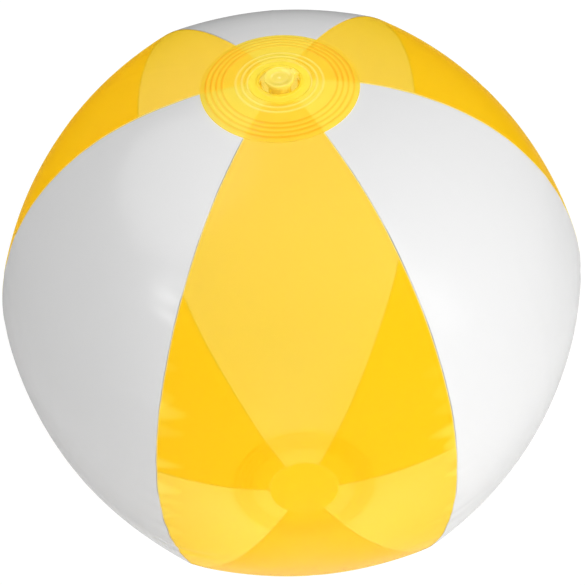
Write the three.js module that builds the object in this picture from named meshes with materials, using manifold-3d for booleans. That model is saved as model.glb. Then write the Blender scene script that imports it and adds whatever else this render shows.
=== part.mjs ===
// An inflated beach ball: six welded film panels, two round end caps and a pop-out air valve.
// Millimetres, +Z up. The ball stands on z = 0 with the valve on top and a yellow panel towards -Y.

import * as THREE from "three";
import { mergeVertices } from "three/addons/utils/BufferGeometryUtils.js";
import Module from "manifold-3d";

const wasm = await Module();
wasm.setup();

// Driving dimensions of the shell
const panelCount = 6;
const seamRadius = 132; // from the axis to a seam, at the equator
const halfHeight = 130; // from the ball's centre to the pole of the panels' outer face
const panelBulge = 13; // of a panel's middle past the chord between its seams, at the equator
const flatRadius = 100; // from this distance to the axis on, the panels have their full flatness
const film = 0.25; // thickness of panels and caps
const gap = 0.3; // clearance between pieces that lie on each other
const weldFin = 3.5; // depth of the panels' welded edges, which are turned inwards

// Driving dimensions of the end caps
const capRadius = 35;
const capLap = 15.5; // width of the panel ends under a cap
const roundMargin = 3; // width beside a cap in which the panels are as round as the cap
const contactRadius = 16; // of the flat patch that the soft ball stands on
const ringCount = 4; // embossed weld rings over the panel ends
const ringMargin = 2.4; // from the cap's rim to the middle of the outermost ring
const ringPitch = 2.4;
const ringWidth = 1.2;
const ringHeight = 0.25;

// Driving dimensions of the valve
const boreRadius = 3.5;
const stemWall = 1.5;
const lip = 1; // of the stem's collar and bead past its wall
const collarHeight = 1.2;
const beadHeight = 1.1;
const edge = 0.4; // bevel on rims that fingers touch
const plugOverhang = 0.6; // of the plug past the stem's collar
const plugThickness = 1.4;
const spigotDepth = 4.5; // below the stem's rim
const strapReach = 1; // from the plug's rim to the line on which the strap bends
const strapThickness = 1;
const strapWidth = 4;
const strapAzimuth = THREE.MathUtils.degToRad(30);
const lugThickness = 1.2;
const holeClearance = 0.8; // between the strap's lug and the hole in the cap
const flangeWidth = 5;
const flangeThickness = 0.8;
const skirtDrop = 8; // height of the funnel: the stem pops out by twice this
const skirtFilm = 0.6;
const skirtLap = 2; // width of the funnel's rim under the flange
const flapOverlap = 1.2; // of the check flap past the bore
const flapThickness = 0.5;
const flapReach = 0.6; // from the flap's rim to the line on which it bends

// Fineness of the facets
const panelSteps = 8;
const panelRows = 22;
const capSteps = 4;
const valveSegments = 32;
const spigotSteps = 4;
const roundSteps = 8;
const mergeDistance = 1e-4;

// Sizes that follow
const halfPanel = Math.PI / panelCount;
const capOffset = gap + film; // of a cap's outer face from the panels' outer face
const panelEndRadius = capRadius - capLap;
const stemRadius = boreRadius + stemWall;
const collarRadius = stemRadius + lip;
const plugRadius = collarRadius + plugOverhang;
const hingeReach = plugRadius + strapReach;
const hingeHeight = gap + strapThickness / 2; // above the stem's rim
const lugReach = hingeReach + strapThickness / 2;
const holeRadius = lugReach + holeClearance;
const flangeRadius = holeRadius + flangeWidth;

// A point of a seam's line, moved out along the skin's normal: x from the axis, y from the ball's centre
function seamPoint(angle, offset) {
  const normal = new THREE.Vector2(Math.cos(angle) / seamRadius, Math.sin(angle) / halfHeight).normalize();
  const point = new THREE.Vector2(seamRadius * Math.cos(angle), halfHeight * Math.sin(angle));
  return point.addScaledVector(normal, offset);
}

// The same near the upper pole, where the skin is round, given by its distance from the axis
function polePoint(radius, offset) {
  return seamPoint(Math.acos(radius / seamRadius), offset);
}

const centreHeight = polePoint(contactRadius, capOffset).y; // of the ball's centre above the floor
const crownHeight = halfHeight + capOffset; // of the cap's highest point above the ball's centre

// A point of the valve, at a distance from the axis and moved out from the skin, with y from the crown
function valvePoint(radius, offset) {
  const point = polePoint(radius, offset);
  point.y -= crownHeight;
  return point;
}

const skirtTop = valvePoint(holeRadius + skirtLap, -flangeThickness).y - gap;
const skirtBottom = skirtTop - skirtDrop;
const stemBottom = skirtBottom - gap - beadHeight;
const flapHeight = stemBottom - gap - flapThickness / 2;

// Turns a closed profile, listed anticlockwise with x from the axis, about Z
function revolve(profile, segments) {
  return new THREE.LatheGeometry(profile, segments).rotateX(Math.PI / 2);
}

// Closes a profile that doesn't meet the axis
function closed(profile) {
  return [...profile, profile[0].clone()];
}

function toSolid(geometry) {
  const bare = geometry.clone();
  bare.deleteAttribute("normal");
  bare.deleteAttribute("uv");
  const merged = mergeVertices(bare, mergeDistance);
  const corners = Array.from(merged.index.array);
  const kept = [];
  for (let k = 0; k < corners.length; k += 3) {
    const triangle = corners.slice(k, k + 3);
    if (new Set(triangle).size === 3) kept.push(...triangle);
  }
  const vertProperties = new Float32Array(merged.attributes.position.array);
  return new wasm.Manifold(new wasm.Mesh({ numProp: 3, vertProperties, triVerts: new Uint32Array(kept) }));
}

function join(first, second) {
  const mesh = toSolid(first).add(toSolid(second)).getMesh();
  const geometry = new THREE.BufferGeometry();
  geometry.setAttribute("position", new THREE.BufferAttribute(mesh.vertProperties, 3));
  geometry.setIndex(new THREE.BufferAttribute(mesh.triVerts, 1));
  geometry.computeVertexNormals();
  return geometry;
}

// Joins an outer and an inner sheet of points, given as rows from below, into one closed skin
function sheetGeometry(outer, inner) {
  const rows = outer.length;
  const columns = outer[0].length;
  const indices = [];
  const out = (row, column) => row * columns + column;
  const back = (row, column) => (rows + row) * columns + column;
  const quad = (a, b, c, d) => indices.push(a, b, c, a, c, d);
  for (let row = 0; row < rows - 1; row += 1) {
    for (let column = 0; column < columns - 1; column += 1) {
      quad(out(row, column), out(row, column + 1), out(row + 1, column + 1), out(row + 1, column));
      quad(back(row, column), back(row + 1, column), back(row + 1, column + 1), back(row, column + 1));
    }
    const last = columns - 1;
    quad(out(row, 0), out(row + 1, 0), back(row + 1, 0), back(row, 0));
    quad(out(row, last), back(row, last), back(row + 1, last), out(row + 1, last));
  }
  for (let column = 0; column < columns - 1; column += 1) {
    const top = rows - 1;
    quad(out(0, column), back(0, column), back(0, column + 1), out(0, column + 1));
    quad(out(top, column), out(top, column + 1), back(top, column + 1), back(top, column));
  }
  const geometry = new THREE.BufferGeometry().setFromPoints([...outer.flat(), ...inner.flat()]);
  geometry.setIndex(indices);
  geometry.computeVertexNormals();
  return geometry;
}

// The arc of a panel at a seam angle: near the caps a part of a circle about the axis, elsewhere flatter
function panelArc(angle) {
  const radius = seamRadius * Math.cos(angle);
  const flatness = THREE.MathUtils.smoothstep(radius, capRadius + roundMargin, flatRadius);
  const roundShare = 1 - Math.cos(halfPanel);
  const sagitta = radius * THREE.MathUtils.lerp(roundShare, panelBulge / seamRadius, flatness);
  const halfChord = radius * Math.sin(halfPanel);
  const arcRadius = (halfChord ** 2 + sagitta ** 2) / (2 * sagitta);
  const middle = radius * Math.cos(halfPanel) + sagitta;
  return { arcRadius, halfAngle: Math.asin(halfChord / arcRadius), centre: middle - arcRadius };
}

// A point of a panel's outer face, with the panel's middle towards +X; share runs from seam to seam, -1 to 1
function panelPoint(angle, share) {
  const { arcRadius, halfAngle, centre } = panelArc(angle);
  const turn = share * halfAngle;
  const height = halfHeight * Math.sin(angle);
  return new THREE.Vector3(centre + arcRadius * Math.cos(turn), arcRadius * Math.sin(turn), height);
}

function panelNormal(angle, share) {
  const small = 1e-4;
  const across = panelPoint(angle, share + small).sub(panelPoint(angle, share - small));
  const along = panelPoint(angle + small, share).sub(panelPoint(angle - small, share));
  return across.cross(along).normalize();
}

// The inward fin at one edge of a panel's row: its tip, and the step from its outer to its inner face
function weldEdge(angle, side, rim) {
  const slope = seamPoint(angle, 1).sub(seamPoint(angle, 0));
  const seam = new THREE.Vector3(Math.cos(halfPanel), side * Math.sin(halfPanel), 0);
  const outwards = seam.multiplyScalar(slope.x).setZ(slope.y);
  const inset = new THREE.Vector3(Math.sin(halfPanel), -side * Math.cos(halfPanel), 0).multiplyScalar(film);
  const tip = rim.clone().addScaledVector(outwards, -weldFin);
  return { tip, innerTip: tip.clone().add(inset), inset };
}

// One row of a panel's two faces, from the tip of one weld fin over the skin to the tip of the other
function panelRow(angle) {
  const outer = [];
  const inner = [];
  const { arcRadius, halfAngle } = panelArc(angle);
  const lastShare = 1 - gap / 2 / (arcRadius * halfAngle);
  for (let step = 0; step <= panelSteps; step += 1) {
    const share = THREE.MathUtils.clamp((2 * step) / panelSteps - 1, -lastShare, lastShare);
    const point = panelPoint(angle, share);
    outer.push(point);
    inner.push(point.clone().addScaledVector(panelNormal(angle, share), -film));
  }
  const first = weldEdge(angle, -1, outer[0]);
  const last = weldEdge(angle, 1, outer[panelSteps]);
  inner[0].add(first.inset);
  inner[panelSteps].add(last.inset);
  return {
    outer: [first.tip, ...outer, last.tip],
    inner: [first.innerTip, ...inner, last.innerTip],
  };
}

function panelGeometry() {
  const reach = Math.acos(panelEndRadius / seamRadius);
  const rows = [];
  for (let row = 0; row <= panelRows; row += 1) {
    rows.push(panelRow(THREE.MathUtils.lerp(-reach, reach, row / panelRows)));
  }
  return sheetGeometry(rows.map((row) => row.outer), rows.map((row) => row.inner));
}

// A ridge across a cap's outer face, from its outer foot to its inner foot
function ridge(radius) {
  return [
    polePoint(radius + ringWidth / 2, capOffset),
    polePoint(radius, capOffset + ringHeight),
    polePoint(radius - ringWidth / 2, capOffset),
  ];
}

// The under face of a cap from an inner radius to its rim, and back over the weld rings to that radius
function capProfile(innerRadius, ringRadii) {
  const under = [];
  for (let step = 0; step <= capSteps; step += 1) {
    under.push(polePoint(THREE.MathUtils.lerp(innerRadius, capRadius, step / capSteps), gap));
  }
  const rim = polePoint(capRadius, capOffset);
  return [...under, rim, ...ringRadii.flatMap(ridge), polePoint(innerRadius, capOffset)];
}

function lapRings() {
  return Array.from({ length: ringCount }, (_, ring) => capRadius - ringMargin - ring * ringPitch);
}

// The top cap has the valve's hole, and one more ring over the weld of the valve's flange
function topCapGeometry() {
  const flangeRing = flangeRadius - ringWidth;
  return revolve(closed(capProfile(holeRadius, [...lapRings(), flangeRing])), panelCount * panelSteps);
}

// The bottom cap is whole, and flat where the ball stands on it
function bottomCapGeometry() {
  const profile = capProfile(contactRadius, lapRings());
  const inside = new THREE.Vector2(0, profile[0].y);
  const outside = new THREE.Vector2(0, profile.at(-1).y);
  return revolve([inside, ...profile, outside], panelCount * panelSteps);
}

// The valve's ring under the cap, which follows the cap's dome
function flangeGeometry() {
  const profile = [
    valvePoint(holeRadius, -flangeThickness),
    valvePoint(flangeRadius, -flangeThickness),
    valvePoint(flangeRadius, 0),
    valvePoint(holeRadius, 0),
  ];
  return revolve(closed(profile), valveSegments);
}

// The thin funnel from the flange down to the stem's bead
function skirtGeometry() {
  const footRadius = stemRadius + gap;
  const rimRadius = holeRadius + skirtLap;
  const profile = [
    new THREE.Vector2(footRadius, skirtBottom),
    new THREE.Vector2(footRadius + skirtFilm, skirtBottom),
    new THREE.Vector2(holeRadius, skirtTop - skirtFilm),
    new THREE.Vector2(rimRadius, skirtTop - skirtFilm),
    new THREE.Vector2(rimRadius, skirtTop),
    new THREE.Vector2(holeRadius - skirtFilm, skirtTop),
    new THREE.Vector2(footRadius, skirtBottom + skirtFilm),
  ];
  return revolve(closed(profile), valveSegments);
}

// A flat tongue along X, with its outer end rounded about the line on which it bends
function tongueGeometry(start, end, height, thickness) {
  const shape = new THREE.Shape();
  shape.moveTo(start, height - thickness / 2);
  shape.lineTo(end, height - thickness / 2);
  shape.absarc(end, height, thickness / 2, -Math.PI / 2, Math.PI / 2);
  shape.lineTo(start, height + thickness / 2);
  const settings = { depth: strapWidth, bevelEnabled: false, curveSegments: roundSteps };
  const tongue = new THREE.ExtrudeGeometry(shape, settings);
  return tongue.translate(0, 0, -strapWidth / 2).rotateX(Math.PI / 2);
}

// The tube one blows into, with a collar, a bead for the funnel and the lug that carries the strap
function stemGeometry() {
  const profile = [
    new THREE.Vector2(boreRadius, stemBottom),
    new THREE.Vector2(collarRadius, stemBottom),
    new THREE.Vector2(collarRadius, stemBottom + beadHeight),
    new THREE.Vector2(stemRadius, stemBottom + beadHeight),
    new THREE.Vector2(stemRadius, -collarHeight),
    new THREE.Vector2(collarRadius, -collarHeight),
    new THREE.Vector2(collarRadius, -edge),
    new THREE.Vector2(collarRadius - edge, 0),
    new THREE.Vector2(boreRadius, 0),
  ];
  const tube = revolve(closed(profile), valveSegments);
  const root = boreRadius + stemWall / 2;
  const shape = new THREE.Shape();
  shape.moveTo(root, -strapWidth / 2);
  shape.absarc(lugReach - strapWidth / 2, 0, strapWidth / 2, -Math.PI / 2, Math.PI / 2);
  shape.lineTo(root, strapWidth / 2);
  const settings = { depth: lugThickness, bevelEnabled: false, curveSegments: roundSteps };
  const lug = new THREE.ExtrudeGeometry(shape, settings).translate(0, 0, -lugThickness);
  return join(tube, lug);
}

// The spigot is as wide at each height as the bore's far wall lets it be when the plug swings out
function spigotRadius(height) {
  const reach = hingeReach + boreRadius - gap;
  return Math.sqrt(reach ** 2 + hingeHeight ** 2 - (height - hingeHeight) ** 2) - hingeReach;
}

function plugGeometry() {
  const top = gap + plugThickness;
  const profile = [new THREE.Vector2(0, -spigotDepth)];
  profile.push(new THREE.Vector2(spigotRadius(-spigotDepth) - edge, -spigotDepth));
  for (let step = 0; step <= spigotSteps; step += 1) {
    const height = THREE.MathUtils.lerp(edge - spigotDepth, 0, step / spigotSteps);
    profile.push(new THREE.Vector2(spigotRadius(height), height));
  }
  profile.push(
    new THREE.Vector2(spigotRadius(0), gap),
    new THREE.Vector2(plugRadius, gap),
    new THREE.Vector2(plugRadius, top - edge),
    new THREE.Vector2(plugRadius - edge, top),
    new THREE.Vector2(0, top),
  );
  const stopper = revolve(profile, valveSegments);
  return join(stopper, tongueGeometry(collarRadius, hingeReach, hingeHeight, strapThickness));
}

// The flap lies under the stem's end and bends on the side away from the strap
function flapGeometry() {
  const radius = boreRadius + flapOverlap;
  const disc = new THREE.CylinderGeometry(radius, radius, flapThickness, valveSegments);
  disc.rotateX(Math.PI / 2).translate(0, 0, flapHeight);
  const tab = tongueGeometry(boreRadius, radius + flapReach, flapHeight, flapThickness);
  return join(disc, tab.rotateZ(Math.PI));
}

function filmMaterial(color, opacity) {
  return new THREE.MeshStandardMaterial({
    color,
    roughness: 0.25,
    metalness: 0,
    transparent: opacity < 1,
    opacity,
  });
}

const yellowFilm = () => filmMaterial(0xffc808, 0.65);
const whiteFilm = () => filmMaterial(0xf4f4f2, 1);

function named(name, geometry, material) {
  const mesh = new THREE.Mesh(geometry, material);
  mesh.name = name;
  return mesh;
}

const panels = [
  ["panel_yellow_front", yellowFilm],
  ["panel_white_right", whiteFilm],
  ["panel_yellow_right", yellowFilm],
  ["panel_white_back", whiteFilm],
  ["panel_yellow_left", yellowFilm],
  ["panel_white_left", whiteFilm],
];

const shell = new THREE.Group();
shell.position.z = centreHeight;
panels.forEach(([name, material], index) => {
  const panel = named(name, panelGeometry(), material());
  panel.rotation.z = 2 * halfPanel * index - Math.PI / 2;
  shell.add(panel);
});
shell.add(named("top_cap", topCapGeometry(), yellowFilm()));
const bottomCap = named("bottom_cap", bottomCapGeometry(), yellowFilm());
bottomCap.rotation.x = Math.PI;
shell.add(bottomCap);

const valve = new THREE.Group();
valve.position.z = centreHeight + crownHeight;
valve.rotation.z = strapAzimuth;
valve.add(
  named("valve_flange", flangeGeometry(), yellowFilm()),
  named("valve_skirt", skirtGeometry(), yellowFilm()),
  named("valve_stem", stemGeometry(), yellowFilm()),
  named("valve_plug", plugGeometry(), yellowFilm()),
  named("check_flap", flapGeometry(), yellowFilm()),
);

const beachBall = new THREE.Group();
beachBall.name = "beach_ball";
beachBall.add(shell, valve);

export default beachBall;
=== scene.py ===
"""An inflated beach ball: six welded film panels, two round end caps and a pop-out air valve."""

from __future__ import annotations

import logging
import math
import random
from dataclasses import dataclass, field
from enum import Enum

import bpy
import numpy as np
from mathutils import Matrix, Vector


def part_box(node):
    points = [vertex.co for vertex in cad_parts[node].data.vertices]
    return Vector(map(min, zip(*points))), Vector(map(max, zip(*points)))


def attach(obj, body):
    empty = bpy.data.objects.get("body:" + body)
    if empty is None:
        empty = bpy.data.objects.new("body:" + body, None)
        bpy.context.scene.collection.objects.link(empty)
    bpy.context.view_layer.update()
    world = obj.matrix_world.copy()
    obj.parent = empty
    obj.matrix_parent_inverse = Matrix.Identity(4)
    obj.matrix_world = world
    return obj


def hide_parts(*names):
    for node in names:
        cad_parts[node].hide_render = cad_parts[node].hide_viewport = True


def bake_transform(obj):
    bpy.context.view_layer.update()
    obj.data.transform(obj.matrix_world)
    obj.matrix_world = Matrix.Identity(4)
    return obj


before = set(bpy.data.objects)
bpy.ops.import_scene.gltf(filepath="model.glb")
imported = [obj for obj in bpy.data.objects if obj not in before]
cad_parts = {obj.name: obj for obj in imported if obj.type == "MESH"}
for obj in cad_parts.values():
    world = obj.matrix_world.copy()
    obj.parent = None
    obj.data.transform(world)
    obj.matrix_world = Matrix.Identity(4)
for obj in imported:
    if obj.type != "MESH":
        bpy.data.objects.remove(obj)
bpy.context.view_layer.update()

LOG = logging.getLogger("beach_ball")
PANEL_COUNT = 6
HALF_PANEL = math.pi / PANEL_COUNT
WHOLE_PANEL = 2.0 * HALF_PANEL
FILM = 0.00025
WELD_RADII = (0.0326, 0.0302, 0.0278, 0.0254)
WELD_PITCH = 0.0024
PRINT_RADII = (0.0166, 0.0193)
PRINT_PITCH = 0.0027
SMOOTH_ANGLE = math.radians(50.0)
MERGE_DISTANCE = 1e-6
TOLERANCE = 1e-5
SMEAR_SCALE = 23.0
SMEAR_DEPTH = 0.10
PLAIN_WHITE = (1.0, 1.0, 1.0, 1.0)

# Sockets of a Mix node for colours: two inputs and the result, whose names other sockets have as well.
MIX_FIRST = 6
MIX_SECOND = 7
MIX_RESULT = 2

Colour = tuple[float, float, float]
Range = tuple[float, float]
Profile = list[tuple[float, float]]
Piece = bpy.types.Object
Material = bpy.types.Material
Node = bpy.types.Node
Socket = bpy.types.NodeSocket


class FilmColour(Enum):
    """The two films that the panels are cut from, by their material slots."""

    YELLOW = "yellow_film"
    WHITE = "white_film"


class Pole(Enum):
    """The end of the ball that a cap closes."""

    TOP = 1
    BOTTOM = -1


class Ends(Enum):
    """What becomes of the first and the last ring of a turned skin."""

    OPEN = "open"
    JOINED = "joined"
    FILLED = "filled"


class LampUse(Enum):
    """What a lamp gives: light on the surfaces, or its mirror image in them."""

    LIGHT = "light"
    SHEEN = "sheen"


def smoothstep(value: np.ndarray, low: float, high: float) -> np.ndarray:
    """Eases from 0 at low to 1 at high.

    Args:
        value: Numbers to ease.
        low: Value with result 0.
        high: Value with result 1.

    Returns:
        Numbers between 0 and 1, one for each value.
    """
    share = np.clip((value - low) / (high - low), 0.0, 1.0)
    return share * share * (3.0 - 2.0 * share)


def pick(piece: Piece) -> None:
    """Selects one piece alone and makes it the active one."""
    bpy.ops.object.select_all(action="DESELECT")
    piece.select_set(True)
    bpy.context.view_layer.objects.active = piece


def vertex_places(piece: Piece) -> np.ndarray:
    """Gives the places of a piece's vertices as rows of x, y and z."""
    places = np.empty(len(piece.data.vertices) * 3)
    piece.data.vertices.foreach_get("co", places)
    return places.reshape(-1, 3)


def move_vertices(piece: Piece, places: np.ndarray) -> None:
    """Puts a piece's vertices at the given rows of x, y and z."""
    piece.data.vertices.foreach_set("co", places.ravel())
    piece.data.update()


def write_values(piece: Piece, name: str, values: np.ndarray) -> None:
    """Keeps a number or a vector for each vertex of a piece.

    Args:
        piece: The object whose mesh keeps the values.
        name: The attribute's name.
        values: One number for each vertex, or one row of three.
    """
    kind, key = ("FLOAT", "value") if values.ndim == 1 else ("FLOAT_VECTOR", "vector")
    attribute = piece.data.attributes.new(name, kind, "POINT")
    attribute.data.foreach_set(key, values.astype(np.float32).ravel())


def take_values(piece: Piece, name: str, keep: bool = False) -> np.ndarray:
    """Reads the values that write_values kept.

    Args:
        piece: The object whose mesh keeps the values.
        name: The attribute's name.
        keep: Whether the attribute stays on the mesh.

    Returns:
        One number for each vertex, or one row of three.
    """
    attribute = piece.data.attributes[name]
    wide = attribute.data_type == "FLOAT_VECTOR"
    values = np.empty(len(attribute.data) * (3 if wide else 1), dtype=np.float32)
    attribute.data.foreach_get("vector" if wide else "value", values)
    if not keep:
        piece.data.attributes.remove(attribute)
    return values.reshape(-1, 3) if wide else values


def edit_selected(piece: Piece, chosen: np.ndarray) -> None:
    """Enters edit mode with only some vertices selected.

    Args:
        piece: The object to edit.
        chosen: One truth value for each vertex.
    """
    pick(piece)
    bpy.ops.object.mode_set(mode="EDIT")
    bpy.ops.mesh.select_mode(type="VERT")
    bpy.ops.mesh.select_all(action="DESELECT")
    bpy.ops.object.mode_set(mode="OBJECT")
    piece.data.vertices.foreach_set("select", chosen)
    bpy.ops.object.mode_set(mode="EDIT")


def apply_modifier(piece: Piece, kind: str, **settings: object) -> None:
    """Adds a modifier with its settings and applies it.

    Args:
        piece: The object to change.
        kind: The modifier's type, such as SOLIDIFY.
        **settings: Values for the modifier's own properties.
    """
    pick(piece)
    modifier = piece.modifiers.new(kind.title(), kind)
    for key, value in settings.items():
        setattr(modifier, key, value)
    bpy.ops.object.modifier_apply(modifier=modifier.name)


def finish_piece(piece: Piece, name: str, slot: str, *materials: Material) -> None:
    """Names a piece, gives it its materials and smooths its shading.

    Args:
        piece: The modelled object.
        name: Its name in the table of pieces.
        slot: The material slot of the record that it belongs to; not used.
        *materials: Its finishes, in the order of its own slots.
    """
    piece.name = name
    piece.data.name = name
    if not piece.data.materials:
        for material in materials:
            piece.data.materials.append(material)
    pick(piece)
    bpy.ops.object.shade_smooth_by_angle(angle=SMOOTH_ANGLE)


def revolve(profile: Profile, segments: int, ends: Ends) -> Piece:
    """Draws a circle and extrudes it ring by ring along a profile.

    Args:
        profile: Radius and height of each ring. A radius of 0 ends the skin in a point on the axis.
        segments: Corners of each ring.
        ends: What becomes of the first and the last ring.

    Returns:
        The new object, with its normals pointing outwards.
    """
    bpy.ops.object.select_all(action="DESELECT")
    radius, height = profile[0]
    bpy.ops.mesh.primitive_circle_add(vertices=segments, radius=radius, fill_type="NOTHING")
    piece = bpy.context.active_object
    bpy.ops.object.mode_set(mode="EDIT")
    bpy.ops.mesh.select_all(action="SELECT")
    bpy.ops.transform.translate(value=(0.0, 0.0, height))
    rings = profile[1:] + profile[:1] if ends is Ends.JOINED else profile[1:]
    for next_radius, next_height in rings:
        rise = (0.0, 0.0, next_height - height)
        bpy.ops.mesh.extrude_edges_move(TRANSFORM_OT_translate={"value": rise})
        if next_radius == 0.0:
            bpy.ops.mesh.merge(type="CENTER")
            break
        factor = next_radius / radius
        centre = (0.0, 0.0, next_height)
        bpy.ops.transform.resize(value=(factor, factor, 1.0), center_override=centre)
        radius, height = next_radius, next_height
    bpy.ops.mesh.select_all(action="SELECT")
    bpy.ops.mesh.remove_doubles(threshold=MERGE_DISTANCE)
    if ends is Ends.FILLED:
        bpy.ops.mesh.fill_holes(sides=0)
        bpy.ops.mesh.select_all(action="SELECT")
    bpy.ops.mesh.normals_make_consistent(inside=False)
    bpy.ops.object.mode_set(mode="OBJECT")
    return piece


@dataclass(frozen=True)
class BallShape:
    """Form of the inflated skin, in metres, with heights from the ball's centre."""

    seam_radius: float
    half_height: float
    bulge: float
    cap_radius: float
    centre_height: float
    crown_height: float
    panel_end_radius: float = 0.0195
    top_end_radius: float = 0.0143
    bottom_end_radius: float = 0.0165
    flat_radius: float = 0.100
    round_margin: float = 0.003
    free_margin: float = 0.014

    @classmethod
    def from_frame(cls) -> BallShape:
        """Reads the ball's sizes from the boxes of the CAD nodes.

        Returns:
            The ball's form.
        """
        low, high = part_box("panel_white_right")
        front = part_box("panel_yellow_front")[0]
        end_share = cls.panel_end_radius / high.x
        return cls(
            seam_radius=high.x,
            half_height=(high.z - low.z) / 2.0 / math.sqrt(1.0 - end_share**2),
            bulge=-front.y - high.x * math.cos(HALF_PANEL),
            cap_radius=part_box("top_cap")[1].x,
            centre_height=(low.z + high.z) / 2.0,
            crown_height=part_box("valve_stem")[1].z,
        )

    def arc(self, angle: np.ndarray) -> tuple[np.ndarray, np.ndarray, np.ndarray]:
        """Gives the arc that a panel's section follows at each seam angle.

        Args:
            angle: Angles along the seam, from the equator.

        Returns:
            The arc's radius, its half angle and the place of its centre on the panel's middle line.
        """
        radius = self.seam_radius * np.cos(angle)
        flatness = smoothstep(radius, self.cap_radius + self.round_margin, self.flat_radius)
        round_share = 1.0 - math.cos(HALF_PANEL)
        sagitta = radius * (round_share + (self.bulge / self.seam_radius - round_share) * flatness)
        half_chord = radius * math.sin(HALF_PANEL)
        arc_radius = (half_chord**2 + sagitta**2) / (2.0 * sagitta)
        centre = radius * math.cos(HALF_PANEL) + sagitta - arc_radius
        return arc_radius, np.arcsin(half_chord / arc_radius), centre

    def point(self, angle: np.ndarray, share: np.ndarray) -> np.ndarray:
        """Gives points of a panel whose middle looks along +X.

        Args:
            angle: Angles along the seam, from the equator.
            share: Places across the panel, from -1 at one seam to 1 at the other.

        Returns:
            Rows of x, y and z.
        """
        arc_radius, half_angle, centre = self.arc(angle)
        turn = share * half_angle
        height = self.centre_height + self.half_height * np.sin(angle)
        return np.stack((centre + arc_radius * np.cos(turn), arc_radius * np.sin(turn), height), axis=1)

    def normal(self, angle: np.ndarray, share: np.ndarray) -> np.ndarray:
        """Gives the outward normals at the points of a panel.

        Args:
            angle: Angles along the seam.
            share: Places across the panel.

        Returns:
            Rows of unit vectors.
        """
        step = 1e-4
        across = self.point(angle, share + step) - self.point(angle, share - step)
        along = self.point(angle + step, share) - self.point(angle - step, share)
        normal = np.cross(across, along)
        return normal / np.linalg.norm(normal, axis=1, keepdims=True)

    def seam_outward(self, angle: np.ndarray, side: np.ndarray) -> np.ndarray:
        """Gives the outward direction in the plane of the nearer seam.

        Args:
            angle: Angles along the seam.
            side: The nearer seam of the panel, -1 or 1.

        Returns:
            Rows of unit vectors.
        """
        flat = np.cos(angle) / self.seam_radius
        rise = np.sin(angle) / self.half_height
        ahead = flat * math.cos(HALF_PANEL)
        aside = flat * math.sin(HALF_PANEL) * side
        outward = np.stack((ahead, aside, rise), axis=1)
        return outward / np.linalg.norm(outward, axis=1, keepdims=True)

    def free_of_cap(self, radius: np.ndarray) -> np.ndarray:
        """Gives how free the film is of the caps' welds, from 0 at a cap's rim to 1 past the margin."""
        return smoothstep(radius, self.cap_radius, self.cap_radius + self.free_margin)

    def pole_height(self, radius: float) -> float:
        """Gives the height of the round skin above the ball's centre, near a pole."""
        return self.half_height * math.sqrt(1.0 - (radius / self.seam_radius) ** 2)


@dataclass(frozen=True)
class Pucker:
    """One small fold across a seam: place along it, width, reach to each side and height, in metres."""

    place: float
    width: float
    reach: float
    height: float


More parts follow.
